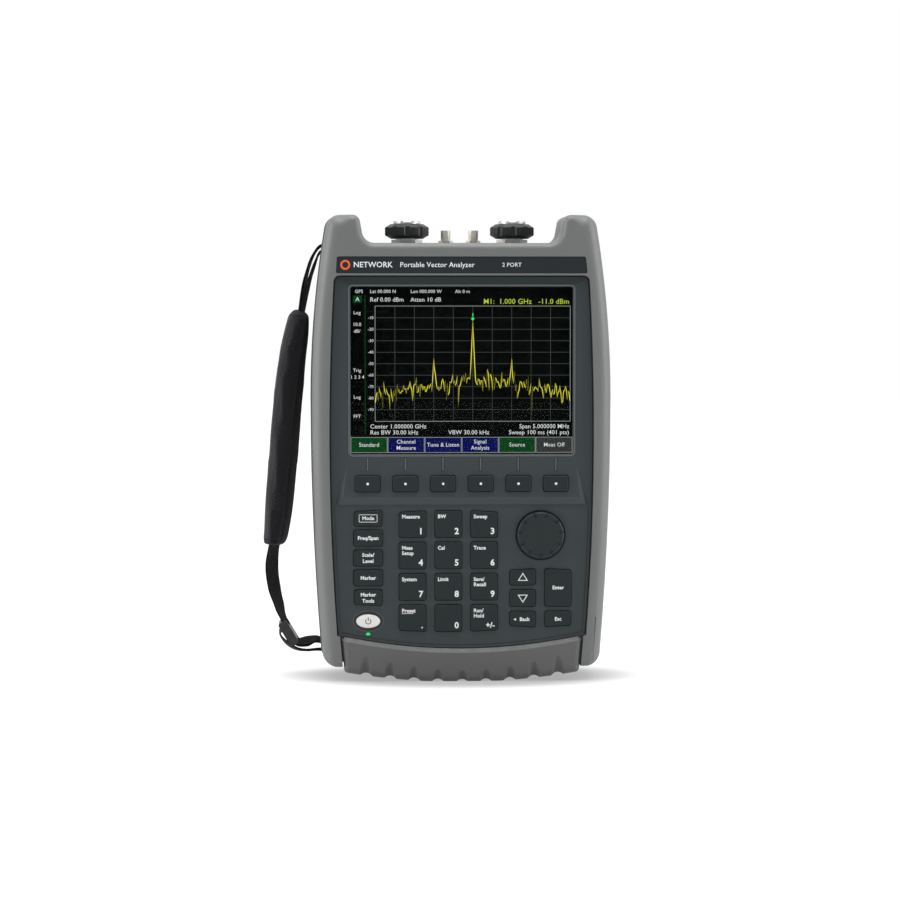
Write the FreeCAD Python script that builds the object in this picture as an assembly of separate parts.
import FreeCAD, Part

import math
import os

# Hand-held vector network analyzer, in millimetres.
# Frame: origin on the ground under the middle of the case, -Y is the front with the
# screen and keys, +X is the right-hand side seen from the front, +Z is up.

V = FreeCAD.Vector

# ---------------------------------------------------------------- driving dimensions
HORN_TOP_Z = 291.0          # top of the two corner horns that guard the connectors
DECK_Z = 273.5              # flat top between the horns
CASE_BOTTOM_Z = 9.0         # underside of the case beside the bumper
WAIST_Z = 176.0             # height of the widest place
WAIST_HALF = 94.4           # half width there, measured on the rear case
SIDE_R_LOW = 1963.0         # radius of the side below the waist
SIDE_R_UP = 658.0           # radius of the side above the waist
HORN_INNER_TOP = 64.0       # half distance between the horns at their tops
HORN_INNER_FOOT = 61.0      # the same at the deck
FRONT_Y = -34.0             # crest of the front rails
BACK_Y = 33.0               # back of the rear case
SEAM_FRONT_Y = -4.5         # rear edge of the front case
SEAM_REAR_Y = -3.5          # front edge of the rear case
FRONT_SHRINK = 0.9          # the front case is this much narrower on each side
WALL = 3.0                  # thickness of both cases
FRONT_WALL_Y = -29.0        # inside of the front case's front wall
CORNER_BOTTOM_R = 9.5
HORN_OUTER_R = 9.0
HORN_INNER_R = 5.0
HORN_FOOT_R = 8.0
RAIL_R = 8.8                # rounding of the rails' outer front edge
TOP_EDGE_R = 4.5            # rounding of the top band's front edge

PANEL_TOP_Z = 252.4
PANEL_TOP_HALF = 78.7
PANEL_MID = (81.6, 163.0)
PANEL_FOOT = (77.0, 29.2)
PANEL_FOOT_MID_Z = 20.9
PANEL_Y = -31.8             # front of the display bezel
PANEL_EDGE_Y = -31.0        # the bezel slopes back to here at its outer edges
KEYPAD_Y = -31.2            # front of the keypad field
PANEL_BACK_Y = -27.5
PANEL_FLANGE = 2.5
GROOVE = 0.9                # dark line between panel and case

WINDOW_HALF = 69.35
WINDOW_Z = (142.0, 246.2)
GLASS_Y = -29.8
GLASS_BACK_Y = -29.0

NAMEPLATE_HALF = 78.2
NAMEPLATE_Z = (254.6, 264.9)
NAMEPLATE_DEPTH = 1.2

KEY_TOP_Y = -32.8
SOFTKEY_TOP_Y = -34.1
KEY_GAP = 0.35              # clearance between a key and its hole, all round
KEY_RIM = 0.9               # a key's retaining rim is this much wider than its head
KEY_RIM_Y = (-27.2, -26.2)
KEY_NUB_Y = -25.2
KEY_NUB_R = 2.0
KEY_TRAVEL = 1.0
MEMBRANE_Y = (-23.9, -22.9)

KNOB_X = 49.2
KNOB_Z = 91.2
KNOB_R = 14.75
KNOB_SHAFT_R = 3.0

PORT_X = 33.3
SMA_X = 8.75
PORT_Y = 5.0
PORT_BORE_R = 4.8
PORT_BORE_LENGTH = 5.0
SMA_R = 3.175               # 1/4 inch thread
RUNNING_FIT = 0.05          # radial clearance of shafts and pins

BUMPER_HALF = 75.5
BUMPER_FOOT_HALF = 73.4
BUMPER_Y = (-34.5, 33.5)
BUMPER_FLOOR_Z = 11.7
FLUTE_PITCH = 15.0
FLUTE_COUNT = 9

STRAP_Y = (-0.5, 19.5)      # webbing 20 mm wide
TOP_BAR = (-84.2, 272.0)
LOW_BAR = (-82.8, 19.0)
BAR_R = 2.0

SCREWS = [(68.0, 27.0), (85.0, 228.0), (74.0, 279.0)]   # and their mirror images


# ---------------------------------------------------------------- small helpers
def box(x0, x1, y0, y1, z0, z1):
    """Box between two corners."""
    return Part.makeBox(x1 - x0, y1 - y0, z1 - z0, V(x0, y0, z0))


def rod(radius, start, end):
    """Round rod between two points."""
    axis = end.sub(start)
    return Part.makeCylinder(radius, axis.Length, start, axis)


def join(shapes):
    """One solid out of several that overlap or touch."""
    first, rest = shapes[0], shapes[1:]
    return first.fuse(rest).removeSplitter() if rest else first


def group(shapes):
    """Separate solids kept together."""
    return Part.makeCompound(shapes)


def mirrored(shape):
    """The shape's mirror image across the YZ plane."""
    return shape.mirror(V(0, 0, 0), V(1, 0, 0))


def polygon_plate(points, y0, y1):
    """Plate between y0 and y1 whose outline is a list of (x, z) corners."""
    corners = [V(x, y0, z) for x, z in points]
    wire = Part.makePolygon(corners + corners[:1])
    return Part.Face(wire).extrude(V(0, y1 - y0, 0))


def wire_plate(edges, y0, y1):
    """Plate between y0 and y1 whose outline is made of edges drawn at y0."""
    wire = Part.Wire(Part.__sortEdges__(edges))
    return Part.Face(wire).extrude(V(0, y1 - y0, 0))


def runs_along_y(edge):
    """True for a straight edge parallel to Y."""
    if len(edge.Vertexes) != 2:
        return False
    a, b = (vertex.Point for vertex in edge.Vertexes)
    return abs(a.x - b.x) < 1e-4 and abs(a.z - b.z) < 1e-4


def lies_at_y(edge, y):
    """True for an edge that lies wholly in the plane y."""
    span = edge.BoundBox
    return abs(span.YMin - y) < 1e-4 and abs(span.YMax - y) < 1e-4


def round_corners(plate, radius):
    """Round a plate's corner edges, those that run along Y."""
    return plate.makeFillet(radius, [e for e in plate.Edges if runs_along_y(e)])


def round_rim(plate, y, radius):
    """Round all edges of a plate's face at y."""
    return plate.makeFillet(radius, [e for e in plate.Edges if lies_at_y(e, y)])


def round_varied(shape, radii):
    """Round edges with a start and an end radius each, given as (number, start, end)."""
    document = FreeCAD.newDocument()
    base = document.addObject("Part::Feature")
    base.Shape = shape
    fillet = document.addObject("Part::Fillet")
    fillet.Base = base
    fillet.Edges = radii
    document.recompute()
    result = fillet.Shape.copy()
    FreeCAD.closeDocument(document.Name)
    return result


def hexagon(across_flats, x, y, z0, z1):
    """Upright hexagonal prism."""
    radius = across_flats / math.sqrt(3)
    angles = [math.radians(60 * i) for i in range(6)]
    corners = [V(x + radius * math.cos(a), y + radius * math.sin(a), z0) for a in angles]
    return Part.Face(Part.makePolygon(corners + corners[:1])).extrude(V(0, 0, z1 - z0))


def upright(profile, x, y):
    """Body turned about the vertical line at (x, y) from a list of (radius, z) corners."""
    corners = [V(x + r, y, z) for r, z in profile]
    face = Part.Face(Part.makePolygon(corners + corners[:1]))
    return face.revolve(V(x, y, 0), V(0, 0, 1), 360)


# ---------------------------------------------------------------- case outline
def side_x(half, z):
    """Half width of the case at height z, for a given half width at the waist."""
    radius = SIDE_R_LOW if z < WAIST_Z else SIDE_R_UP
    rise = z - WAIST_Z
    return half - (radius - math.sqrt(radius * radius - rise * rise))


def side_edge(half, side, z0, z1, y):
    """Arc of the case's side from z0 to z1."""
    points = [V(side * side_x(half, z), y, z) for z in (z0, (z0 + z1) / 2, z1)]
    return Part.Arc(*points).toShape()


def case_block(y0, y1, inset, shrink=0.0):
    """Solid with the case's outline, moved in by inset all round and by shrink at the sides."""
    half = WAIST_HALF - inset - shrink
    foot, top, deck = CASE_BOTTOM_Z + inset, HORN_TOP_Z - inset, DECK_Z - inset
    inner_top, inner_foot = HORN_INNER_TOP + inset, HORN_INNER_FOOT + inset
    foot_x, top_x = side_x(half, foot), side_x(half, top)
    loop = [(-foot_x, foot), (foot_x, foot)]
    rim = [(top_x, top), (inner_top, top), (inner_foot, deck)]
    rim += [(-x, z) for x, z in reversed(rim)]
    edges = [Part.makeLine(V(loop[0][0], y0, foot), V(loop[1][0], y0, foot))]
    for side in (-1, 1):
        edges.append(side_edge(half, side, foot, WAIST_Z, y0))
        edges.append(side_edge(half, side, WAIST_Z, top, y0))
    for (ax, az), (bx, bz) in zip(rim, rim[1:]):
        edges.append(Part.makeLine(V(ax, y0, az), V(bx, y0, bz)))
    block = wire_plate(edges, y0, y1)
    corners = [
        (foot_x, foot, max(CORNER_BOTTOM_R - inset, 2.0)),
        (top_x, top, max(HORN_OUTER_R - inset, 2.0)),
        (inner_top, top, max(HORN_INNER_R - inset, 1.5)),
        (inner_foot, deck, HORN_FOOT_R + inset),
    ]
    radii = []
    for number, edge in enumerate(block.Edges, 1):
        if not runs_along_y(edge):
            continue
        at = edge.Vertexes[0].Point
        for x, z, radius in corners:
            if abs(abs(at.x) - x) < 0.01 and abs(at.z - z) < 0.01:
                radii.append((number, radius, radius))
    return round_varied(block, radii)


def round_front(block):
    """Round the front edge of the front case: wide on the rails, tighter on the top band."""
    foot_radius = 3.0
    radii = []
    for number, edge in enumerate(block.Edges, 1):
        if not lies_at_y(edge, FRONT_Y):
            continue
        start, end = edge.Vertexes[0].Point, edge.Vertexes[-1].Point
        middle = edge.CenterOfMass
        across = abs(middle.x)
        if middle.z < CASE_BOTTOM_Z + 0.5 and across < 5:
            pair = (foot_radius, foot_radius)
        elif middle.z < 22 and across > 75:
            pair = (foot_radius, RAIL_R) if start.z < end.z else (RAIL_R, foot_radius)
        elif across > 84 or (across > 78 and middle.z > 280):
            pair = (RAIL_R, RAIL_R)
        elif middle.z > HORN_TOP_Z - 0.1:
            outward = abs(start.x) < abs(end.x)
            pair = (TOP_EDGE_R, RAIL_R) if outward else (RAIL_R, TOP_EDGE_R)
        else:
            pair = (TOP_EDGE_R, TOP_EDGE_R)
        radii.append((number, *pair))
    return round_varied(block, radii)


# ---------------------------------------------------------------- panel outline
def panel_wire(y, grow=0.0):
    """Outline of the dark front panel, grown outwards by grow."""
    top_x, mid_x, foot_x = PANEL_TOP_HALF, PANEL_MID[0], PANEL_FOOT[0]
    mid_z, foot_z = PANEL_MID[1], PANEL_FOOT[1]
    edges = [Part.makeLine(V(-top_x, y, PANEL_TOP_Z), V(top_x, y, PANEL_TOP_Z))]
    for side in (-1, 1):
        side_points = (V(side * top_x, y, PANEL_TOP_Z), V(side * mid_x, y, mid_z))
        edges.append(Part.Arc(*side_points, V(side * foot_x, y, foot_z)).toShape())
    foot_points = (V(-foot_x, y, foot_z), V(0, y, PANEL_FOOT_MID_Z), V(foot_x, y, foot_z))
    edges.append(Part.Arc(*foot_points).toShape())
    wire = Part.Wire(Part.__sortEdges__(edges))
    return wire.makeOffset2D(grow, 2) if grow else wire


def panel_block(y0, y1, grow, corner):
    """Solid with the panel's outline and rounded upper corners."""
    block = Part.Face(panel_wire(y0, grow)).extrude(V(0, y1 - y0, 0))
    upper = [e for e in block.Edges if runs_along_y(e) and e.CenterOfMass.z > WAIST_Z]
    return block.makeFillet(corner, upper)


# ---------------------------------------------------------------- front case
SILL_TOP_Z = 29.2
SILL_BACK_Y = -25.0
SCREW_R = 1.4


def boss(x, z, y0, y1, radius=4.4):
    """Screw boss along Y."""
    return rod(radius, V(x, y0, z), V(x, y1, z))


def screw_places():
    """Every screw's (x, z), both sides."""
    return [(side * x, z) for x, z in SCREWS for side in (-1, 1)]


def bumper_room():
    """The space that the rubber bumper takes out of both cases."""
    gap = 0.7
    slope = (BUMPER_HALF - BUMPER_FOOT_HALF) / (PANEL_FOOT[1] - bumper_edge_z(BUMPER_FOOT_HALF))

    def tapered(top_z, y0, y1):
        high = BUMPER_HALF + gap - slope * (PANEL_FOOT[1] - top_z)
        low = high - slope * top_z
        return polygon_plate([(-low, 0), (low, 0), (high, top_z), (-high, top_z)], y0, y1)

    front = tapered(PANEL_FOOT[1] - 0.7, FRONT_Y - 5, FRONT_WALL_Y)
    below = tapered(BUMPER_FLOOR_Z + 0.3, FRONT_Y - 5, BACK_Y + 5)
    back = tapered(BUMPER_BACK_TOP_Z + 0.3, BUMPER_BACK_LIP_Y - 0.3, BACK_Y + 5)
    return [front, below, back]


def deck_opening(gap):
    """Opening in the deck for the connector panel."""
    reach_x, front_y, back_y = 51.8 + gap, -13.8 - gap, 23.8 + gap
    cut = box(-reach_x, reach_x, front_y, back_y, DECK_Z - WALL - 2, HORN_TOP_Z)
    upright_edges = [e for e in cut.Edges if abs(e.Vertexes[0].Z - e.Vertexes[1].Z) > 1]
    return cut.makeFillet(4.0, upright_edges)


def front_case():
    """Front shell: side rails, horns and top band, open in front for the panel."""
    shell = round_front(case_block(FRONT_Y, SEAM_FRONT_Y, 0.0, FRONT_SHRINK))
    cavity = case_block(FRONT_WALL_Y, SEAM_FRONT_Y + 1, WALL, FRONT_SHRINK)
    sill = box(-79, 79, FRONT_WALL_Y, SILL_BACK_Y, 0, SILL_TOP_Z)
    floor = box(-100, 100, FRONT_WALL_Y, 0, 0, BUMPER_FLOOR_Z + 0.3 + WALL)
    cavity = cavity.cut([sill, floor])
    for x, z in screw_places():
        start = FRONT_WALL_Y - 1 if z > PANEL_TOP_Z else PANEL_BACK_Y + 0.3
        cavity = cavity.cut(boss(x, z, start, SEAM_FRONT_Y + 2))
    opening = panel_block(FRONT_Y - 1, FRONT_WALL_Y, GROOVE, 4.0)
    recess = polygon_plate(nameplate_corners(0.1), FRONT_Y - 1, FRONT_Y + NAMEPLATE_DEPTH)
    shell = shell.cut([cavity, opening, round_corners(recess, 1.2)])
    shell = shell.cut(bumper_room() + [deck_opening(0.2)])
    for x, z in screw_places():
        shell = shell.cut(rod(SCREW_R + RUNNING_FIT, V(x, -17, z), V(x, 0, z)))
    parting_line = rod(0.4, V(83.7, -33.0, 40), V(81.8, -33.4, 8))
    return shell.cut(parting_line)


def nameplate_corners(grow):
    """Corners of the nameplate, whose right-hand end slants."""
    low, high = NAMEPLATE_Z[0] - grow, NAMEPLATE_Z[1] + grow
    half = NAMEPLATE_HALF + grow
    return [(-half, low), (half, low), (half - 1.2, high), (-half + 0.6, high)]


def nameplate():
    """Thin black strip let into the top band."""
    front = FRONT_Y + 0.3
    plate = polygon_plate(nameplate_corners(0.0), front, FRONT_Y + NAMEPLATE_DEPTH)
    return round_rim(round_corners(plate, 1.1), front, 0.25)


# ---------------------------------------------------------------- rear case
GRIP_PITCH = 15.6
GRIP_COUNT = 9
GRIP_FIRST_Z = 101.0
DOOR_Y = (2.0, 23.6)        # front edge and hinge line of both side doors
DOOR_SKIN = 2.6
DOOR_BARREL_R = 1.6
DOOR_PIN_R = 0.8
HINGE_SINK = 1.7            # how far a hinge line lies below the case's side
IO_DOOR_Z = (118.0, 208.0)
BATTERY_DOOR_Z = (30.0, 108.0)
POCKET_FLOOR_X = 80.0
KICK_HALF = 44.5
KICK_Z = (34.0, 126.0)      # foot and hinge line of the kickstand
KICK_AXIS_Y = 31.0
KICK_FLOOR_Y = 28.5
KICK_PIN_R = 1.5
KICK_BARREL_R = 2.2
HEATSINK_HALF = 56.0
HEATSINK_Z = (152.0, 248.0)
HEATSINK_LIP = 4.0
BUMPER_BACK_LIP_Y = 30.9
BUMPER_BACK_TOP_Z = 20.0


def rear_block():
    """Outside of the rear case: rounded at the back, fluted at both sides."""
    block = case_block(SEAM_REAR_Y, BACK_Y, 0.0)
    block = round_rim(block, BACK_Y, 6.0)
    flute_r, depth = 12.0, 1.3
    for i in range(GRIP_COUNT):
        z = GRIP_FIRST_Z + GRIP_PITCH * i
        x = side_x(WAIST_HALF, z) + flute_r - depth
        for side in (-1, 1):
            start, end = V(side * x, 1.0, z), V(side * x, BACK_Y + 1, z)
            block = block.cut(rod(flute_r, start, end))
    return block


def door_axis(z_range):
    """Hinge line of a side door as a point and a unit direction."""
    low, high = z_range
    foot = V(side_x(WAIST_HALF, low) - HINGE_SINK, DOOR_Y[1], low)
    head = V(side_x(WAIST_HALF, high) - HINGE_SINK, DOOR_Y[1], high)
    axis = head.sub(foot)
    length = axis.Length
    return foot, axis.normalize(), length


def door_region(z_range, gap, skin):
    """The part of the case's right side that a door takes up."""
    reach = 40
    slab = box(70, 100, DOOR_Y[0] - gap, DOOR_Y[1], z_range[0] - gap, z_range[1] + gap)
    inside = case_block(-reach, reach, skin + gap)
    foot, axis, length = door_axis(z_range)
    barrel_r = DOOR_BARREL_R + gap
    barrel = Part.makeCylinder(barrel_r, length + 2 * gap, foot.sub(axis * gap), axis)
    return slab.cut(inside), barrel


def hinge_relief(z_range):
    """Step in the case behind a hinge line, where the open door's edge goes."""
    foot, axis, length = door_axis(z_range)
    widest = min(z_range[1], max(WAIST_Z, z_range[0])) if z_range[1] > WAIST_Z else sum(z_range) / 2
    chord_x = foot.x + axis.x * (widest - z_range[0])
    reach = side_x(WAIST_HALF, widest) - chord_x + 0.3
    low, high = z_range[0] - 0.3, z_range[1] + 0.3
    step = box(70, 100, DOOR_Y[1] - 0.1, DOOR_Y[1] + reach, low, high)
    lean = math.degrees(math.atan2(axis.x, axis.z))
    keep = box(foot.x - 60, foot.x - 0.3, -10, 60, low - 30, high + 30)
    keep.rotate(foot, V(0, 1, 0), lean)
    return step.cut(keep)


def side_pocket():
    """Solid block and the hollow cut into it for the sockets behind the upper door."""
    block = box(POCKET_FLOOR_X - 2.5, 100, -1.0, 28.5, IO_DOOR_Z[0] - 4, IO_DOOR_Z[1] + 4)
    hollow = box(POCKET_FLOOR_X, 100, 4.0, 22.5, IO_DOOR_Z[0] + 3, IO_DOOR_Z[1] - 3)
    return block, hollow


def battery_bay():
    """Sleeve around the battery and the hollow inside it."""
    sleeve = box(-68.0, 100.0, 2.0, 26.0, 32.6, 105.4)
    hollow = box(-66.5, 100.0, 3.4, 24.6, 34.0, 104.0)
    return sleeve, hollow


def strap_slot(bar):
    """Slot in the left wall around one strap bar, and the block that walls it in."""
    x, z = bar
    low, high = (z - 12, z + 9) if z > WAIST_Z else (z - 6, z + 8.5)
    slot = box(-120, x + 5.2, STRAP_Y[0] - 0.7, STRAP_Y[1] + 0.7, low, high)
    walls = box(-84, x + 7.4, SEAM_REAR_Y, STRAP_Y[1] + 3, low - 2.2, high + 2.2)
    return slot, walls


def rear_case():
    """Rear shell with the bays, pockets and bosses that the real one carries."""
    outside = rear_block()
    cavity = case_block(SEAM_REAR_Y - 1, BACK_Y - WALL, WALL)
    floor_top = BUMPER_FLOOR_Z + 0.3 + WALL
    floor = box(-100, 100, SEAM_REAR_Y - 1, BACK_Y, 0, floor_top)
    shell = outside.cut(cavity.cut(floor))
    pocket_block, pocket = side_pocket()
    sleeve, bay = battery_bay()
    top_slot, top_walls = strap_slot(TOP_BAR)
    low_slot, low_walls = strap_slot(LOW_BAR)
    kick_half = KICK_HALF + 0.5
    kick_block = box(-kick_half - 4, kick_half + 4, 25.5, 31, KICK_Z[0] - 6, KICK_Z[1] + 7)
    kick_room = box(-kick_half, kick_half, KICK_FLOOR_Y, 40, KICK_Z[0] - 0.5, KICK_Z[1] + 2.6)
    finger = rod(9.0, V(0, 40, KICK_Z[0] - 3), V(0, KICK_FLOOR_Y, KICK_Z[0] - 3))
    back_sill = box(-79, 79, 27.5, 31, floor_top - 1, BUMPER_BACK_TOP_Z + 4)
    inside = [pocket_block, sleeve, top_walls, low_walls, kick_block, back_sill]
    inside += [boss(x, z, SEAM_REAR_Y, BACK_Y - 1) for x, z in screw_places()]
    solid = outside.cut(bumper_room())
    shell = join([shell] + [piece.common(solid) for piece in inside])
    cuts = [pocket, bay, top_slot, low_slot, kick_room, finger, deck_opening(0.2)]
    for z_range in (IO_DOOR_Z, BATTERY_DOOR_Z):
        cuts += door_region(z_range, 0.3, DOOR_SKIN)
        cuts.append(hinge_relief(z_range))
    half = HEATSINK_HALF + 0.2
    low, high = HEATSINK_Z[0] - 0.2, HEATSINK_Z[1] + 0.2
    cuts.append(box(-half, half, 20, 40, low, high))
    cuts += bumper_room()
    cuts += socket_holes()
    for x, z in screw_places():
        cuts.append(rod(1.8, V(x, SEAM_REAR_Y - 1, z), V(x, 40, z)))
        cuts.append(rod(3.4, V(x, BACK_Y - 3.2, z), V(x, 40, z)))
    cuts += pins()
    return shell.cut(cuts)


def case_seal():
    """Flat gasket squeezed between the two cases."""
    ring = case_block(SEAM_FRONT_Y, SEAM_REAR_Y, 1.0, FRONT_SHRINK)
    ring = ring.cut(box(-76.8, 76.8, -10, 0, 0, BUMPER_FLOOR_Z + 1.1))
    hole = case_block(SEAM_FRONT_Y - 1, SEAM_REAR_Y + 1, 2.4, FRONT_SHRINK)
    hole = hole.cut(box(-100, 100, -10, 0, 0, BUMPER_FLOOR_Z + 2.6))
    return ring.cut([hole, deck_opening(0.4)])


def case_screws():
    """Six screws driven in from the back."""
    screws = []
    for x, z in screw_places():
        head_y = BACK_Y - 3.2
        head = rod(3.1, V(x, head_y, z), V(x, head_y + 2.4, z))
        drive = rod(1.6, V(x, head_y + 1.0, z), V(x, head_y + 3, z))
        shank = rod(SCREW_R, V(x, -16, z), V(x, head_y, z))
        screws.append(join([head, shank]).cut(drive))
    return group(screws)


# ---------------------------------------------------------------- front panel
WEDGE_Z = (110.6, 134.0)    # foot and top of the raised band that carries the soft keys
SOFTKEY_PITCH = 23.5
SOFTKEY_Z = 123.6
SOFTKEY_SIZE = (15.5, 9.8)


def soft_key_band():
    """Raised band under the window, with slanted ends."""
    low, high = WEDGE_Z
    crest = [(PANEL_Y + 1.5, low), (PANEL_Y + 1.5, high), (PANEL_Y, high), (-33.2, 115.2)]
    crest.append((PANEL_Y - 0.2, low))
    corners = [V(-90, y, z) for y, z in crest]
    band = Part.Face(Part.makePolygon(corners + corners[:1])).extrude(V(180, 0, 0))
    rings = []
    for y, foot_half, top_half in ((PANEL_Y + 2, 82.0, 74.0), (-33.8, 74.3, 68.3)):
        ring = [V(-foot_half, y, low - 1), V(foot_half, y, low - 1), V(top_half, y, high + 1)]
        ring.append(V(-top_half, y, high + 1))
        rings.append(Part.makePolygon(ring + ring[:1]))
    return band.common(Part.makeLoft(rings, True, True))


def bezel_slopes():
    """Cutters that slope the bezel back towards its top and side edges."""
    drop = PANEL_EDGE_Y - PANEL_Y
    crest_x, crest_z = WINDOW_HALF + 1.2, WINDOW_Z[1] + 1.0
    top = [(PANEL_Y, crest_z), (PANEL_EDGE_Y, PANEL_TOP_Z), (PANEL_EDGE_Y + drop, 258.0)]
    top += [(-40, 258.0), (-40, crest_z)]
    corners = [V(-90, y, z) for y, z in top]
    cutters = [Part.Face(Part.makePolygon(corners + corners[:1])).extrude(V(180, 0, 0))]
    side = [(crest_x, PANEL_Y), (81.0, PANEL_EDGE_Y), (91.0, PANEL_EDGE_Y + drop)]
    side += [(91.0, -40), (crest_x, -40)]
    for sign in (-1, 1):
        corners = [V(sign * x, y, 0) for x, y in side]
        face = Part.Face(Part.makePolygon(corners + corners[:1]))
        cutters.append(face.extrude(V(0, 0, 260)))
    return cutters


def front_panel():
    """Dark front moulding: display bezel, soft key band and keypad field in one piece."""
    face = panel_block(PANEL_Y, FRONT_WALL_Y, 0.0, 3.2).cut(bezel_slopes())
    keypad_top, keypad_half = WEDGE_Z[0] + 0.05, 90
    face = face.cut(box(-keypad_half, keypad_half, -40, KEYPAD_Y, 0, keypad_top))
    face = join([face, soft_key_band().common(panel_block(-40, FRONT_WALL_Y, -0.4, 3.0))])
    flange = panel_block(FRONT_WALL_Y, PANEL_BACK_Y, PANEL_FLANGE, 4.0)
    flange = flange.cut(box(-100, 100, -40, 0, 0, SILL_TOP_Z + 0.2))
    panel = join([face, flange])
    window = box(-WINDOW_HALF, WINDOW_HALF, -40, -20, *WINDOW_Z)
    pocket = box(-72.0, 72.0, GLASS_Y, -20, WINDOW_Z[0] - 2.6, WINDOW_Z[1] + 2.6)
    panel = panel.cut([round_corners(window, 1.4), round_corners(pocket, 2.0)])
    rim = [e for e in panel.Edges if lies_at_y(e, PANEL_Y) and within_window_rim(e)]
    panel = panel.makeChamfer(0.5, rim)
    ticks = [box(x - 0.9, x + 0.9, -40, PANEL_Y + 0.5, 131.0, 140.2) for x in softkey_places()]
    panel = panel.cut([round_corners(tick, 0.8) for tick in ticks])
    border = keypad_border()
    holes = [key_hole(key) for key in all_keys()]
    well = rod(KNOB_R + 0.95, V(KNOB_X, -40, KNOB_Z), V(KNOB_X, -29.0, KNOB_Z))
    shaft = rod(KNOB_SHAFT_R + 0.35, V(KNOB_X, -40, KNOB_Z), V(KNOB_X, -20, KNOB_Z))
    led = rod(1.0, V(-58.5, -40, 29.6), V(-58.5, -30.2, 29.6))
    return panel.cut([border, well, shaft, led] + holes)


def within_window_rim(edge):
    """True for the edges of the window's mouth."""
    centre = edge.BoundBox
    inside_x = centre.XMin > -WINDOW_HALF - 0.1 and centre.XMax < WINDOW_HALF + 0.1
    return inside_x and centre.ZMin > WINDOW_Z[0] - 0.1 and centre.ZMax < WINDOW_Z[1] + 0.1


def keypad_border():
    """Shallow line that frames the keypad field."""
    outer = panel_block(-40, KEYPAD_Y + 0.45, -1.5, 2.0)
    inner = panel_block(-41, KEYPAD_Y + 1, -2.1, 2.0)
    below = box(-100, 100, -41, 0, 0, WEDGE_Z[0] - 0.9)
    return outer.cut(inner).common(below)


def display_glass():
    """Cover glass behind the window."""
    plate = box(-71.8, 71.8, GLASS_Y, GLASS_BACK_Y, WINDOW_Z[0] - 2.4, WINDOW_Z[1] + 2.4)
    return round_corners(plate, 1.9)


def lcd_module():
    """Liquid crystal display in its frame, with the ledge for its flat cable."""
    frame = box(-75.5, 75.5, -27.4, -22.4, 138.5, 249.5)
    screen = box(-70.5, 70.5, -28.5, -27.4, 140.5, 247.5)
    return join([frame, screen])


def keypad_membrane():
    """Switch sheet behind the keys, cut out round the knob's encoder."""
    sheet = box(-73, 73, *MEMBRANE_Y, 34, 131)
    cut_out = box(KNOB_X - 9, KNOB_X + 9, -30, -20, KNOB_Z - 9, KNOB_Z + 9)
    return round_corners(sheet.cut(cut_out), 1.5)


# ---------------------------------------------------------------- keys
class Key:
    """One key: place, size, how far each corner moves up or down, and its front."""

    def __init__(self, name, x, z, size, shifts=(0, 0, 0, 0), top_y=KEY_TOP_Y, oval=False):
        self.name, self.x, self.z = name, x, z
        self.width, self.height = size
        self.shifts = shifts            # lower left, lower right, upper right, upper left
        self.top_y, self.oval = top_y, oval


def softkey_places():
    """The six columns of the soft keys."""
    return [SOFTKEY_PITCH * (i - 2.5) for i in range(6)]


def all_keys():
    """Every key on the front."""
    keys = []
    for number, x in enumerate(softkey_places(), 1):
        keys.append(Key(f"softkey_{number}", x, SOFTKEY_Z, SOFTKEY_SIZE, top_y=SOFTKEY_TOP_Y))
    slant = 1.0
    left_names = ("key_mode", "key_freq", "key_scale", "key_marker", "key_tools")
    for i, name in enumerate(left_names):
        width = 17.2 if i in (0, 4) else 18.0
        shifts = (0, 0, 0, -slant) if i == 0 else (slant, 0, 0, 0) if i == 4 else (0, 0, 0, 0)
        keys.append(Key(name, -58.5, 102.1 - 12.45 * i, (width, 9.9), shifts))
    keys.append(Key("power_key", -58.5, 37.7, (14.9, 8.4), top_y=-33.0, oval=True))
    rows = (("1", "2", "3"), ("4", "5", "6"), ("7", "8", "9"), ("point", "0", "sign"))
    for row, names in enumerate(rows):
        for column, name in enumerate(names):
            shifts = [0, 0, 0, 0]
            if row == 0 and column != 1:
                shifts[2 if column == 2 else 3] = -slant
            if row == 3 and column != 1:
                shifts[1 if column == 2 else 0] = slant
            x, z = -30.8 + 22.4 * column, 98.3 - 19.65 * row
            keys.append(Key(f"key_{name}", x, z, (16.6, 16.6), tuple(shifts)))
    keys.append(Key("key_up", 38.1, 65.1, (15.9, 10.2), (0, 0, 0, -slant)))
    keys.append(Key("key_down", 38.1, 51.7, (15.9, 10.4)))
    keys.append(Key("key_enter", 60.2, 58.4, (16.3, 23.6), (0, 0, -slant, 0)))
    keys.append(Key("key_back", 38.1, 38.5, (15.9, 9.8), (slant, 0, 0, 0)))
    keys.append(Key("key_esc", 60.2, 38.6, (16.1, 9.8), (0, slant, 0, 0)))
    return keys


def key_plate(key, grow, y0, y1):
    """Plate with a key's outline, grown by grow."""
    half_w, half_h = key.width / 2 + grow, key.height / 2 + grow
    if key.oval:
        ellipse = Part.Ellipse(V(0, 0, 0), half_w, half_h).toShape()
        ellipse.rotate(V(0, 0, 0), V(1, 0, 0), 90)
        ellipse.translate(V(key.x, y0, key.z))
        return Part.Face(Part.Wire([ellipse])).extrude(V(0, y1 - y0, 0))
    signs = ((-1, -1), (1, -1), (1, 1), (-1, 1))
    corners = []
    for (sx, sz), shift in zip(signs, key.shifts):
        corners.append((key.x + sx * half_w, key.z + sz * half_h + shift))
    return round_corners(polygon_plate(corners, y0, y1), 1.5 + grow * 0.5)


def key_hole(key):
    """Hole in the panel for a key."""
    gap = 0.8 if key.oval else KEY_GAP
    return key_plate(key, gap, -40, PANEL_BACK_Y + 1)


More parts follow.
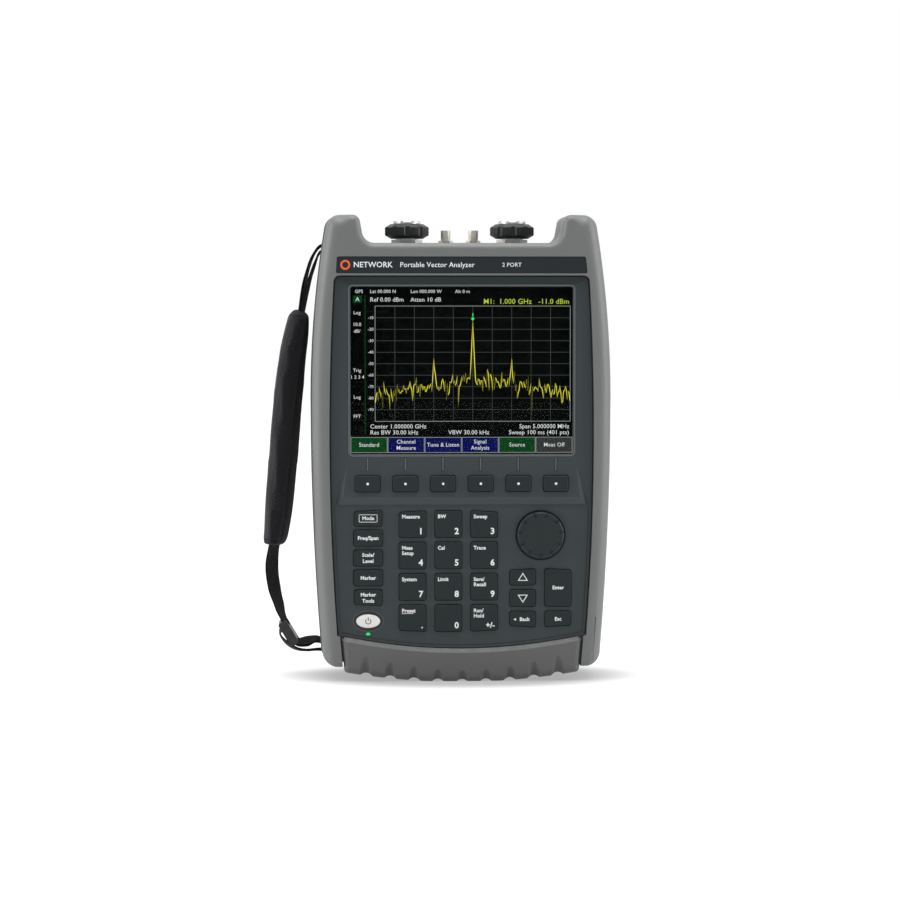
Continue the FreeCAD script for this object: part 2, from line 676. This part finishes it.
def key_solid(key):
    """A key: head, retaining rim behind the panel and the nub that works the switch."""
    head = round_rim(key_plate(key, 0.0, key.top_y, KEY_RIM_Y[0]), key.top_y, 0.7)
    rim = key_plate(key, KEY_RIM + (0.5 if key.oval else 0.0), *KEY_RIM_Y)
    nub = rod(KEY_NUB_R, V(key.x, KEY_RIM_Y[1], key.z), V(key.x, KEY_NUB_Y, key.z))
    return join([head, rim, nub])


# ---------------------------------------------------------------- knob
KNOB_TOP_Y = -35.4
KNOB_FOOT_Y = -29.4


def tuning_knob():
    """Tuning knob with finger dimples round its edge, on its shaft."""
    x, z = KNOB_X, KNOB_Z
    disc = rod(KNOB_R, V(x, KNOB_TOP_Y, z), V(x, KNOB_FOOT_Y, z))
    disc = round_rim(disc, KNOB_TOP_Y, 1.6)
    dimples = []
    count = 11
    for i in range(count):
        angle = math.radians(360 * i / count + 8)
        dx, dz = math.cos(angle), math.sin(angle)
        inner = V(x + 11.9 * dx, KNOB_TOP_Y - 0.35, z + 11.9 * dz)
        outer = V(x + 17.0 * dx, KNOB_TOP_Y - 0.1, z + 17.0 * dz)
        dimples.append(rod(1.1, inner, outer))
        dimples.append(Part.makeSphere(1.1, inner))
    shaft = rod(KNOB_SHAFT_R, V(x, KNOB_FOOT_Y, z), V(x, -22.3, z))
    return join([disc.cut(dimples), shaft])


def knob_encoder():
    """Rotary encoder that carries the knob's shaft."""
    x, z = KNOB_X, KNOB_Z
    body = box(x - 8, x + 8, -27.4, -20.4, z - 8, z + 8)
    return body.cut(rod(KNOB_SHAFT_R + RUNNING_FIT, V(x, -30, z), V(x, -22.0, z)))


# ---------------------------------------------------------------- inside
def main_board():
    """Main circuit board with its larger parts."""
    board = box(-78, 78, -19.0, -17.4, 34, 250)
    parts = [box(-20, 12, -17.4, -14.6, 128, 160), box(-60, -36, -17.4, -15.2, 136, 158)]
    parts += [box(-66 + 24 * i, -52 + 24 * i, -17.4, -15.6, 172, 186) for i in range(6)]
    parts += [box(-70 + 30 * i, -58 + 30 * i, -17.4, -11.0, 60, 84) for i in range(5)]
    parts += [box(30, 66, -17.4, -9.0, 124, 144), box(66, 77, -17.4, -6.0, 96, 112)]
    return join([board] + parts)


def rf_module():
    """Screened radio module, bolted to the heatsink."""
    can = box(-62, 62, -14.5, 19.5, 196, 262)
    ribs = [box(-58, 58, 19.0, 20.4, 200 + 10 * i, 202 + 10 * i) for i in range(6)]
    pad = box(-50, 50, 19.4, 27.0, 206, 240)
    return join([can, pad] + ribs)


def battery_pack():
    """Removable battery with a pull tab at its end."""
    pack = box(-64.0, 84.0, 3.9, 24.1, 34.6, 103.4)
    lengthwise = [e for e in pack.Edges if abs(e.Vertexes[0].X - e.Vertexes[1].X) > 1]
    pack = pack.makeFillet(3.0, lengthwise)
    tab = box(84.0, 85.4, 9.0, 19.0, 46.0, 58.0)
    return join([pack, tab])


def heatsink():
    """Ribbed aluminium plate that closes the back behind the radio module."""
    lip = HEATSINK_LIP
    low, high = HEATSINK_Z
    base = box(-HEATSINK_HALF - lip, HEATSINK_HALF + lip, 27.0, 29.9, low - lip, high + lip)
    web = box(-HEATSINK_HALF, HEATSINK_HALF, 29.9, 31.4, low, high)
    count, thick = 23, 1.8
    pitch = (2 * HEATSINK_HALF - thick) / (count - 1)
    fins = []
    for i in range(count):
        x = -HEATSINK_HALF + pitch * i
        fins.append(box(x, x + thick, 31.4, 35.6, low, high))
    return join([base, web] + fins)


# ---------------------------------------------------------------- top connectors
def connector_panel():
    """Plate in the deck that carries the four connectors."""
    plate = deck_opening(0.0).common(box(-60, 60, -20, 30, DECK_Z - WALL, DECK_Z - 0.2))
    flange = box(-55, 55, -17, 27, DECK_Z - WALL - 2, DECK_Z - WALL)
    panel = join([plate, flange])
    cuts = [rod(5.1, V(x, PORT_Y, 260), V(x, PORT_Y, 280)) for x in (-PORT_X, PORT_X)]
    cuts += [rod(2.7, V(x, PORT_Y, 260), V(x, PORT_Y, 280)) for x in (-SMA_X, SMA_X)]
    return panel.cut(cuts)


PORT_TOP_Z = 287.9
BARREL_TOP_Z = 286.3


def rf_ports():
    """Two metal test ports: hexagonal base, barrel and castellated end ring."""
    ports = []
    base_z, deck = 276.2, DECK_Z - 0.2
    floor_z = BARREL_TOP_Z - PORT_BORE_LENGTH
    for x in (-PORT_X, PORT_X):
        tail = rod(5.0, V(x, PORT_Y, 264), V(x, PORT_Y, deck))
        barrel = rod(7.0, V(x, PORT_Y, base_z), V(x, PORT_Y, BARREL_TOP_Z))
        ring = [(6.0, BARREL_TOP_Z), (8.7, BARREL_TOP_Z), (8.7, 287.4)]
        ring += [(8.2, PORT_TOP_Z), (6.0, PORT_TOP_Z)]
        solid = join([tail, hexagon(17, x, PORT_Y, deck, base_z), barrel, upright(ring, x, PORT_Y)])
        bore = rod(PORT_BORE_R, V(x, PORT_Y, floor_z), V(x, PORT_Y, 295))
        well = rod(2.4, V(x, PORT_Y, 278.5), V(x, PORT_Y, floor_z))
        solid = solid.cut([bore, well])
        contact = rod(0.65, V(x, PORT_Y, 278.5), V(x, PORT_Y, floor_z - 0.5))
        notches = []
        for i in range(8):
            notch = box(x + 7.2, x + 10, PORT_Y - 1.1, PORT_Y + 1.1, 286.9, 290)
            notch.rotate(V(x, PORT_Y, 0), V(0, 0, 1), 45 * i + 22.5)
            notches.append(notch)
        ports.append(join([solid.cut(notches), contact]))
    return group(ports)


def port_wheel(x):
    """Lobed hand wheel that turns on a test port's barrel."""
    low, high, outer = 276.8, 286.0, 13.9
    profile = [(7.0 + RUNNING_FIT, low), (10.2, low), (outer, low + 2.2), (outer, high - 2.2)]
    profile += [(10.6, high), (7.0 + RUNNING_FIT, high)]
    wheel = upright(profile, x, PORT_Y)
    lobes = 10
    hollows = []
    for i in range(lobes):
        angle = math.radians(360 / lobes * (i + 0.5))
        hx, hy = x + 15.7 * math.cos(angle), PORT_Y + 15.7 * math.sin(angle)
        hollows.append(rod(2.9, V(hx, hy, low - 1), V(hx, hy, high + 1)))
    return wheel.cut(hollows)


def sma_sockets():
    """Two small threaded coaxial sockets."""
    sockets = []
    deck, shoulder, top = DECK_Z - 0.2, 275.6, 282.0
    for x in (-SMA_X, SMA_X):
        tail = rod(2.6, V(x, PORT_Y, 265), V(x, PORT_Y, deck))
        thread = rod(SMA_R, V(x, PORT_Y, shoulder), V(x, PORT_Y, top))
        solid = join([tail, hexagon(8, x, PORT_Y, deck, shoulder), thread])
        well = rod(1.9, V(x, PORT_Y, 279.2), V(x, PORT_Y, top + 1))
        contact = rod(0.5, V(x, PORT_Y, 279.0), V(x, PORT_Y, top - 0.8))
        sockets.append(join([solid.cut(well), contact]))
    return group(sockets)


# ---------------------------------------------------------------- bumper
def bumper_edge_z(x):
    """Height of the bumper's lower edge, before the flat under its middle ribs."""
    radius, drop = 427.0, 0.7
    return radius - drop - math.sqrt(radius * radius - x * x)


def bottom_bumper():
    """Rubber foot that wraps under the case from front to back, fluted along its edge."""
    y0, y1 = BUMPER_Y
    foot_z, top_z = bumper_edge_z(BUMPER_FOOT_HALF), PANEL_FOOT[1] - 0.8
    left, right = V(-BUMPER_FOOT_HALF, y0, foot_z), V(BUMPER_FOOT_HALF, y0, foot_z)
    up_left, up_right = V(-BUMPER_HALF, y0, top_z), V(BUMPER_HALF, y0, top_z)
    edges = [
        Part.Arc(left, V(0, y0, bumper_edge_z(0)), right).toShape(),
        Part.makeLine(right, up_right),
        Part.Arc(up_right, V(0, y0, PANEL_FOOT_MID_Z - 0.6), up_left).toShape(),
        Part.makeLine(up_left, left),
    ]
    block = wire_plate(edges, y0, y1)
    ends = [e for e in block.Edges if runs_along_y(e) and e.CenterOfMass.z < 10]
    block = block.makeFillet(2.5, ends)
    lower = [e for e in block.Edges if lies_at_y(e, y0) and e.BoundBox.ZMin < 4]
    lower += [e for e in block.Edges if lies_at_y(e, y1) and e.BoundBox.ZMin < 4]
    block = block.makeFillet(4.0, lower)
    upper = [e for e in block.Edges if lies_at_y(e, y0) and e.CenterOfMass.z > 18]
    upper = [e for e in upper if e.Length > 100]
    block = block.makeChamfer(2.4, upper)
    channel = box(-90, 90, FRONT_WALL_Y - 0.1, BUMPER_BACK_LIP_Y, BUMPER_FLOOR_Z, 60)
    above = box(-90, 90, BUMPER_BACK_LIP_Y - 1, 40, BUMPER_BACK_TOP_Z, 60)
    below = box(-90, 90, -50, 50, -20, 0)
    block = block.cut([channel, above, below])
    return block.cut(bumper_flutes())


def bumper_flutes():
    """Rounded hollows across the bumper's lower edge, running out up its front."""
    radius, front_radius, back_strip_y = 5.0, 4.2, 23.0
    cutters = []
    for i in range(FLUTE_COUNT):
        x = FLUTE_PITCH * (i - (FLUTE_COUNT - 1) / 2)
        edge_z = bumper_edge_z(x)
        under_z = edge_z + 1.9 - radius
        cutters.append(rod(radius, V(x, -40, under_z), V(x, back_strip_y, under_z)))
        cutters.append(Part.makeSphere(radius, V(x, back_strip_y, under_z)))
        top_z = 6.4 + 9.6 * (abs(x) / 60.0) ** 2
        lean = 1.4
        foot_y = BUMPER_Y[0] - front_radius + 3.4
        head_y = BUMPER_Y[0] - front_radius - 0.1
        run = (foot_y - head_y) / (top_z - edge_z)
        foot = V(x + math.copysign(lean, x), foot_y + 8 * run, edge_z - 8)
        head = V(x - math.copysign(lean * 0.3, x), head_y - 3 * run, top_z + 3)
        cutters.append(rod(front_radius, foot, head))
    return cutters


# ---------------------------------------------------------------- doors, latch, stand
def side_door(z_range, latch_slot=None):
    """Curved door in the case's right side with its hinge barrel."""
    slab, barrel = door_region(z_range, 0.0, DOOR_SKIN)
    door = join([slab.common(rear_block()), barrel])
    foot, axis, length = door_axis(z_range)
    bore = Part.makeCylinder(DOOR_PIN_R + RUNNING_FIT, length + 4, foot.sub(axis * 2), axis)
    door = door.cut(bore)
    pull = Part.makeSphere(5.0, V(96.6, DOOR_Y[0] + 2.0, sum(z_range) / 2 + 22))
    door = door.cut(pull)
    return door.cut(latch_slot) if latch_slot else door


LATCH_Y = 8.0
LATCH_Z = 69.0
LATCH_TRAVEL = 3.0


def tilted(shape):
    """Turn a shape drawn upright at the origin onto the lower door's slanting face."""
    low, high = BATTERY_DOOR_Z
    run = side_x(WAIST_HALF, high) - side_x(WAIST_HALF, low)
    shape.rotate(V(0, 0, 0), V(0, 1, 0), math.degrees(math.atan2(run, high - low)))
    shape.translate(V(side_x(WAIST_HALF, LATCH_Z), LATCH_Y, LATCH_Z))
    return shape


def latch_cutters():
    """Recess and slot for the battery latch, in the door."""
    recess = box(-1.0, 5, -4.6, 4.6, -7.4, 10.4)
    slot = box(-10, 5, -2.4, 2.4, -4.4, 7.4)
    return [tilted(recess), tilted(slot)]


def battery_latch():
    """Sliding latch that locks the lower door: thumb plate, stem and inner plate."""
    thumb = box(-0.7, 0.6, -4.2, 4.2, -7.0, 7.0)
    ribs = [box(0.6, 1.2, -4.2, 4.2, z, z + 1.0) for z in (-4.5, -2.0, 0.5, 3.0)]
    stem = box(-3.6, -0.7, -2.0, 2.0, -4.0, 4.0)
    inner = box(-4.6, -3.2, -3.6, 3.6, -5.0, 5.0)
    return tilted(join([thumb, stem, inner] + ribs))


def kickstand():
    """Folding stand in the back, hung from its top edge."""
    foot_z, hinge_z = KICK_Z
    plate = box(-KICK_HALF, KICK_HALF, 29.3, 32.6, foot_z, hinge_z)
    lower = [e for e in plate.Edges if runs_along_y(e) and e.CenterOfMass.z < foot_z + 1]
    plate = plate.makeFillet(8.0, lower)
    hollow = box(-30, 30, 31.6, 40, foot_z + 16, hinge_z - 18)
    plate = plate.cut(round_corners(hollow, 5.0))
    barrel = rod(KICK_BARREL_R, V(-KICK_HALF, KICK_AXIS_Y, hinge_z), V(KICK_HALF, KICK_AXIS_Y, hinge_z))
    bore = rod(KICK_PIN_R + RUNNING_FIT, V(-60, KICK_AXIS_Y, hinge_z), V(60, KICK_AXIS_Y, hinge_z))
    return join([plate, barrel]).cut(bore)


def pins():
    """Steel hinge pins and strap bars, each one a straight round bar."""
    bars = []
    for z_range in (IO_DOOR_Z, BATTERY_DOOR_Z):
        foot, axis, length = door_axis(z_range)
        start, end = foot.sub(axis * 3), foot.add(axis * (length + 3))
        bars.append(rod(DOOR_PIN_R, start, end))
    reach = KICK_HALF + 3.5
    hinge_z = KICK_Z[1]
    bars.append(rod(KICK_PIN_R, V(-reach, KICK_AXIS_Y, hinge_z), V(reach, KICK_AXIS_Y, hinge_z)))
    for x, z in (TOP_BAR, LOW_BAR):
        bars.append(rod(BAR_R, V(x, -2.6, z), V(x, 22.0, z)))
    return bars


# ---------------------------------------------------------------- sockets behind the door
LAN = (128.0, 146.0)
USB = ((152.0, 160.0), (164.0, 172.0))
AUDIO_Z = 179.0
DC_Z = (187.0, 199.0)
SOCKET_FRONT_X = 83.6
SOCKET_Y = (7.0, 20.6)
SOCKET_BACK_X = 72.0


def socket_bodies():
    """Outer bodies of the sockets."""
    reach = (SOCKET_BACK_X, SOCKET_FRONT_X)
    bodies = [box(*reach, *SOCKET_Y, *z) for z in (LAN,) + USB]
    middle = sum(SOCKET_Y) / 2
    bodies.append(rod(4.0, V(reach[0], middle, AUDIO_Z), V(reach[1], middle, AUDIO_Z)))
    bodies.append(box(*reach, middle - 5.5, middle + 5.5, *DC_Z))
    return bodies


def socket_holes():
    """Holes in the pocket floor through which the sockets stand."""
    floor = box(POCKET_FLOOR_X - 4, POCKET_FLOOR_X + 1, -10, 40, 100, 230)
    return [body.common(floor) for body in socket_bodies()]


def side_sockets():
    """Network, two serial bus, audio and power sockets."""
    lan, usb_a, usb_b, audio, power = socket_bodies()
    middle = sum(SOCKET_Y) / 2
    floor_x = 75.0
    lan = lan.cut(box(floor_x, 90, middle - 5.9, middle + 5.9, LAN[0] + 3, LAN[1] - 3))
    buses = []
    for body, (low, high) in zip((usb_a, usb_b), USB):
        hollow = box(floor_x, 90, middle - 6.0, middle + 6.0, low + 1.5, high - 1.5)
        tongue = box(floor_x - 1, 82.4, middle - 5.4, middle + 5.4, high - 3.4, high - 1.5)
        buses.append(join([body.cut(hollow), tongue]))
    audio = audio.cut(rod(1.75, V(74, middle, AUDIO_Z), V(90, middle, AUDIO_Z)))
    centre = sum(DC_Z) / 2
    power = power.cut(rod(3.3, V(floor_x, middle, centre), V(90, middle, centre)))
    contact = rod(1.2, V(floor_x - 1, middle, centre), V(81.5, middle, centre))
    return group([lan] + buses + [audio, join([power, contact])])


# ---------------------------------------------------------------- strap
WEB_THICK = 3.2             # two layers of webbing
PAD_Y = (-9.5, 28.5)
PAD_THICK = 12.0
PAD_LINE = [(-100.7, 231.0), (-106.3, 203.0), (-109.4, 168.0), (-112.2, 133.0), (-115.4, 89.0)]
UPPER_LINE = [(-85.2, 273.4), (-89.6, 270.6), (-93.2, 264.0), (-95.8, 256.0), (-97.6, 246.0)]
UPPER_LINE += [(-99.2, 237.0), (-101.2, 228.0)]
LOWER_LINE = [(-115.2, 92.0), (-117.6, 81.0), (-118.8, 70.0), (-118.2, 60.0), (-116.0, 49.5)]
LOWER_LINE += [(-112.2, 38.0), (-107.6, 27.0), (-101.6, 20.0), (-94.0, 17.4), (-84.0, 16.6)]
SLIDER_AT = (-108.6, 27.0)
SLIDER_TURN = -31.0


def ribbon(line, thickness, y0, y1):
    """Strip of even thickness that follows a smooth line through (x, z) points."""
    centre = Part.BSplineCurve()
    centre.interpolate([V(x, y0, z) for x, z in line])
    first, last = centre.FirstParameter, centre.LastParameter
    steps = 4 * len(line)
    sides = ([], [])
    for i in range(steps + 1):
        at = first + (last - first) * i / steps
        point, along = centre.value(at), centre.tangent(at)[0]
        across = V(along.z, 0, -along.x) * (thickness / 2)
        sides[0].append(point.add(across))
        sides[1].append(point.sub(across))
    edges = []
    for side in sides:
        curve = Part.BSplineCurve()
        curve.interpolate(side)
        edges.append(curve.toShape())
    edges += [Part.makeLine(sides[0][i], sides[1][i]) for i in (0, -1)]
    return wire_plate(edges, y0, y1)


def bar_loop(bar):
    """Loop of webbing round a strap bar, and the room for the bar inside it."""
    x, z = bar
    inner = BAR_R + 0.35
    loop = rod(inner + WEB_THICK / 2, V(x, STRAP_Y[0], z), V(x, STRAP_Y[1], z))
    return loop, rod(inner, V(x, -20, z), V(x, 40, z))


def strap_pad():
    """Plain body of the padded hand grip."""
    pad = ribbon(PAD_LINE, PAD_THICK, *PAD_Y)
    return pad.makeFillet(3.5, [e for e in pad.Edges if e.Length > 100])


def strap_upper_webbing():
    """Webbing from the top bar to the grip."""
    loop, room = bar_loop(TOP_BAR)
    strip = ribbon(UPPER_LINE, WEB_THICK, *STRAP_Y)
    return join([strip, loop]).cut([room, strap_pad()])


def strap_lower_webbing():
    """Webbing from the grip down to the lower bar."""
    loop, room = bar_loop(LOW_BAR)
    strip = ribbon(LOWER_LINE, WEB_THICK, *STRAP_Y)
    return join([strip, loop]).cut([room, strap_pad()])


def strap_slider():
    """Buckle on the lower webbing, wider than the webbing it holds."""
    x, z = SLIDER_AT
    frame = box(-3.0, 3.0, STRAP_Y[0] - 2.2, STRAP_Y[1] + 2.2, -8.4, 8.4)
    frame = frame.makeFillet(1.6, [e for e in frame.Edges if runs_along_y(e)])
    frame.rotate(V(0, 0, 0), V(0, 1, 0), SLIDER_TURN)
    frame.translate(V(x, 0, z))
    room = ribbon(LOWER_LINE, WEB_THICK + 0.3, STRAP_Y[0] - 0.15, STRAP_Y[1] + 0.15)
    return frame.cut(room)


# ---------------------------------------------------------------- all the pieces
def build():
    """Every node's shape by name."""
    nodes = {key.name: key_solid(key) for key in all_keys()}
    nodes["tuning_knob"] = tuning_knob()
    nodes["front_case"] = front_case()
    nodes["rear_case"] = rear_case()
    nodes["case_seal"] = case_seal()
    nodes["case_screws"] = case_screws()
    nodes["front_panel"] = front_panel()
    nodes["bottom_bumper"] = bottom_bumper()
    nodes["nameplate"] = nameplate()
    nodes["display_glass"] = display_glass()
    nodes["lcd_module"] = lcd_module()
    nodes["keypad_membrane"] = keypad_membrane()
    nodes["knob_encoder"] = knob_encoder()
    nodes["main_board"] = main_board()
    nodes["rf_module"] = rf_module()
    nodes["battery_pack"] = battery_pack()
    nodes["heatsink"] = heatsink()
    nodes["connector_panel"] = connector_panel()
    nodes["rf_ports"] = rf_ports()
    nodes["port_wheel_left"] = port_wheel(-PORT_X)
    nodes["port_wheel_right"] = port_wheel(PORT_X)
    nodes["sma_sockets"] = sma_sockets()
    nodes["io_door"] = side_door(IO_DOOR_Z)
    nodes["battery_door"] = side_door(BATTERY_DOOR_Z, latch_cutters())
    nodes["battery_latch"] = battery_latch()
    nodes["kickstand"] = kickstand()
    nodes["side_sockets"] = side_sockets()
    nodes["steel_pins"] = group(pins())
    nodes["strap_pad"] = strap_pad()
    nodes["strap_upper_webbing"] = strap_upper_webbing()
    nodes["strap_lower_webbing"] = strap_lower_webbing()
    nodes["strap_slider"] = strap_slider()
    return nodes


os.makedirs("parts", exist_ok=True)
for name, shape in build().items():
    solids = len(shape.Solids)
    print(f"{name:22s} solids {solids} volume {shape.Volume:10.1f} valid {shape.isValid()}")
    shape.exportStep(f"parts/{name}.step")
